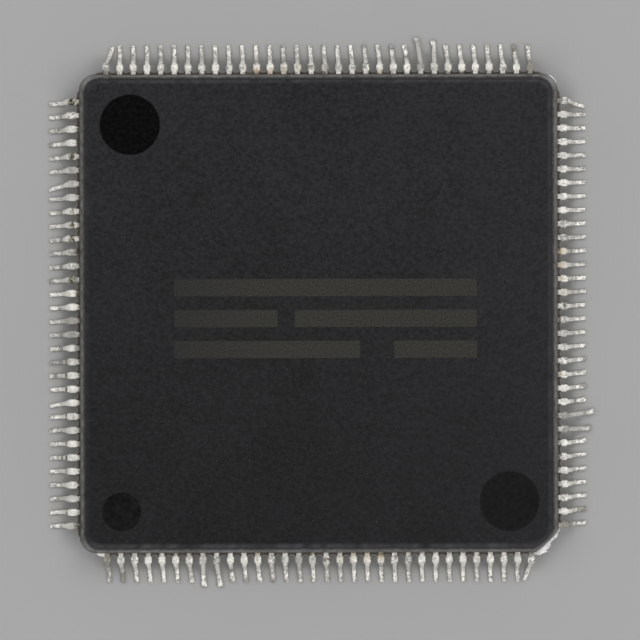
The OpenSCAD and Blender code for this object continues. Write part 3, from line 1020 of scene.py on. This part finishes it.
def add_lead(shape, row, place, chance):
    """One formed lead, from its tip inside the body to its toe, with its own stub, set, lumps and soiling."""
    tilt = SPLAYED.get((row, place), LEFT_LEG_TILT if row == LEFT_ROW else LEG_TILT)
    lean = foot_set(row, place) / (LEAD_REACH - LEAN_START)
    worn = WORN_TIPS.get((row, place), ROW_WORN[row])
    stubs = {side: (chance.uniform(*STUB_FULLNESS), chance.uniform(*STUB_STRETCH)) for side in [1, -1]}
    dullness = chance.choice(DULLNESS)
    seed = 17.0 * row + 1.3 * place
    spread = 0 if row == LEFT_ROW else SPREAD_TOES.get(place, 0)
    rings = []
    stations = lead_path(tilt, worn)
    walked = 0
    for k, (u, z, angle) in enumerate(stations):
        if k > 0:
            walked += math.hypot(u - stations[k - 1][0], z - stations[k - 1][1])
        along = walked - (EDGE - RING)
        up_u, up_z = math.cos(math.radians(angle)), math.sin(math.radians(angle))
        blunt = TIP_BLUNTING if k == len(stations) - 1 else 1
        flare = spread * smooth_step(*TOE_SPREADS, along)
        lump = ROOT_LUMPS + FOOT_LUMPS * smooth_step(*LUMPS_GROW, along)
        soil = soiling(row, place, along, dullness)
        ring = []
        for side, up, right, over in section_points():
            rise = (up * (THICKNESS / 2 - SECTION_RADIUS) + over * SECTION_RADIUS) * blunt
            point_u, point_z = u + up_u * rise, z + up_z * rise
            out = point_u - EDGE
            half = (half_width(row, out, *stubs[side]) + (flare if side > 0 else 0)) * blunt
            s = lead_place(place, point_u, lean)
            s += side * (half - SECTION_RADIUS) + right * SECTION_RADIUS
            shake = lump * ripple(s + seed, point_u, point_z, LUMP_SIZE) if out > 0 else 0
            s += right * shake
            point_u += over * up_u * shake
            point_z = max(0.0, point_z + over * up_z * shake)
            ring.append(shape.add(in_row(row, s, point_u, point_z), **soil))
        rings.append(ring)
    shape.loft(rings)


def make_leads(tin):
    chance = random.Random(11)
    for row, row_name in enumerate(ROW_NAMES):
        shape = Shape()
        for place in range(LEADS_PER_SIDE):
            add_lead(shape, row, place, chance)
        piece = shape.make(f"tinned_leads_{row_name}", tin, crease=70)
        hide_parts(f"leads_{row_name}_row")


# Lead frame and die inside


def on_diagonal(turns, out, across, z):
    """A point at a distance along a diagonal of the body, some quarter turns from the gate corner's."""
    a = math.radians(315 + 90 * turns)
    return (out * math.cos(a) - across * math.sin(a), out * math.sin(a) + across * math.cos(a), z)


def add_slab(shape, outline, low, high, edge):
    """A plate with soft edges. Outline holds corners as functions of an inward offset and a height."""
    levels = [(edge, low), (0, low + edge), (0, high - edge), (edge, high)]
    shape.loft([[shape.add(corner(inset, z), film=0) for corner in outline] for inset, z in levels])


def add_paddle(shape):
    middle = LEAD_MID - PADDLE_DOWNSET
    half = PADDLE_SIDE / 2
    signs = [(1, 1), (-1, 1), (-1, -1), (1, -1)]
    outline = [lambda inset, z, x=x, y=y: (x * (half - inset), y * (half - inset), z) for x, y in signs]
    add_slab(shape, outline, middle - THICKNESS / 2, middle + THICKNESS / 2, PADDLE_SOFTENING)


def add_tie_bar(shape, turns, end, film=0):
    """A bar from the paddle's corner up to the level of the leads and out through the corner of the body.
    A film of resin can hide its end."""
    soft_length, soft_inset = 0.01, 0.012
    start = PADDLE_SIDE / math.sqrt(2)
    low, high = LEAD_MID - PADDLE_DOWNSET, LEAD_MID
    path = [
        (start - TIE_BAR_WIDTH, low), (start + PADDLE_DOWNSET, low), (start + 2 * PADDLE_DOWNSET, high),
        (end - soft_length, high), (end, high)
    ]
    rings = []
    for k, (out, z) in enumerate(path):
        soft = soft_inset if k == len(path) - 1 else 0
        half, thick = TIE_BAR_WIDTH / 2 - soft, THICKNESS / 2 - soft
        places = [half * share for share in [1, 0.5, 0, -0.5, -1]]
        section = [(across, thick) for across in places] + [(across, -thick) for across in reversed(places)]
        ring = []
        for across, rise in section:
            sag = CORNER_RADIUS - math.sqrt(CORNER_RADIUS ** 2 - across ** 2) if k > 2 else 0
            ring.append(shape.add(on_diagonal(turns, out - sag, across, z + rise), film=film))
        rings.append(ring)
    shape.loft(rings)


def torn_points():
    """The torn edge with small teeth between its main points."""
    steps, tooth, tooth_size = 5, 0.013, 0.035
    points = []
    for (a, reach_a), (b, reach_b) in zip(TORN_EDGE, TORN_EDGE[1:]):
        for k in range(steps):
            across = a + (b - a) * k / steps
            reach = reach_a + (reach_b - reach_a) * k / steps
            points.append((across, reach + tooth * ripple(across, reach, 0, tooth_size)))
    return points + [TORN_EDGE[-1]]


def add_torn_end(shape):
    """The widened end of the gate's tie bar: a thin plate torn along its outer edge."""
    inside = GATE_DISTANCE - TIE_BAR_WIDTH
    edge = [(GATE_DISTANCE + reach, across) for across, reach in torn_points()]
    root = [(inside, TIE_BAR_WIDTH / 2), (inside, -TIE_BAR_WIDTH / 2)]
    curl_height, curl_size, end_film = 0.012, 0.2, 0.3
    rings = []
    for inset, z in TORN_LEVELS:
        ring = []
        for out, across in edge:
            curl = curl_height * ripple(across, 3, 0, curl_size)
            film = end_film * smooth_step(0.4, 0.55, abs(across))
            ring.append(shape.add(on_diagonal(0, out - inset, across, z + curl), film=film))
        ring += [shape.add(on_diagonal(0, out, across, z), film=0) for out, across in root]
        rings.append(ring)
    shape.loft(rings)


def make_lead_frame_middle():
    shape = Shape()
    add_paddle(shape)
    for turns, proud, film in [(1, TIE_BAR_PROUD, 0), (2, TIE_BAR_FLUSH, 0.5), (3, TIE_BAR_FLUSH, 0.5)]:
        add_tie_bar(shape, turns, CORNER_DISTANCE + proud, film)
    add_tie_bar(shape, 0, GATE_DISTANCE)
    add_torn_end(shape)
    piece = shape.make("paddle_and_tie_bars", torn_metal_material(), crease=40)
    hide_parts("die_paddle")


def dress_inside():
    """The solids inside the body keep their shapes and get their own materials."""
    finishes = {"die_attach": adhesive_material(), "silicon_die": silicon_material()}
    gold = gold_material()
    for row_name in ROW_NAMES:
        finishes[f"wires_{row_name}_row"] = gold
    for name, material in finishes.items():
        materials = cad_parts[name].data.materials
        materials.clear()
        materials.append(material)


# Stage


def make_floor():
    mesh = bpy.data.meshes.new("floor")
    half = 1.5
    corners = [(-half, -half, 0), (half, -half, 0), (half, half, 0), (-half, half, 0)]
    mesh.from_pydata(corners, [], [(0, 1, 2, 3)])
    mesh.materials.append(floor_material())
    floor = bpy.data.objects.new("floor", mesh)
    bpy.context.scene.collection.objects.link(floor)


def add_light(name, azimuth, brightness):
    """A square softbox that faces the part. Brightness is its radiance."""
    distance, size, elevation = 0.2, 0.1, 64
    a, e = math.radians(azimuth), math.radians(elevation)
    away = Vector((math.sin(a) * math.cos(e), -math.cos(a) * math.cos(e), math.sin(e)))
    lamp = bpy.data.lights.new(name, "AREA")
    lamp.size = size
    lamp.energy = brightness * math.pi * size * size
    light = bpy.data.objects.new(name, lamp)
    light.location = away * distance
    light.rotation_euler = away.to_track_quat("Z", "Y").to_euler()
    bpy.context.scene.collection.objects.link(light)


def make_light():
    """Four softboxes around the part, and a world that is pale at the horizon and dark above."""
    add_light("softbox_back", 160, 3.0)
    add_light("softbox_right", 70, 2.6)
    add_light("softbox_front", -20, 2.0)
    add_light("softbox_left", -110, 2.1)
    horizon, zenith = grey(0.85), grey(0.12)
    world = bpy.data.worlds.new("studio")
    bpy.context.scene.world = world
    world.use_nodes = True
    tree = world.node_tree
    place = add_node(tree, "ShaderNodeTexCoord", {}).outputs["Generated"]
    height = add_node(tree, "ShaderNodeSeparateXYZ", {"Vector": place}).outputs["Z"]
    sky = blend(tree, between(tree, height, 0, 1), horizon, zenith)
    tree.links.new(sky, tree.nodes["Background"].inputs["Color"])


def make_camera():
    """Straight down, as the photograph looks, with a long lens and a slight roll."""
    lens, sensor, field, level = 300, 36, 18.71, 0.8
    aim_x, aim_y, roll = 0.038, -0.195, -0.15
    camera = bpy.data.cameras.new("camera")
    camera.lens = lens
    camera.sensor_width = sensor
    camera.clip_start = 0.01
    camera.clip_end = 10
    eye = bpy.data.objects.new("camera", camera)
    eye.location = Vector((aim_x, aim_y, level + field * lens / sensor)) * MM
    eye.rotation_euler = (0, 0, math.radians(roll))
    bpy.context.scene.collection.objects.link(eye)
    bpy.context.scene.camera = eye


make_camera()
make_floor()
make_light()
make_body()
make_flash()
tinned = tin_material()
make_leads(tinned)
make_solder_sliver(tinned)
make_lead_frame_middle()
dress_inside()
bpy.context.scene.view_settings.view_transform = "Standard"
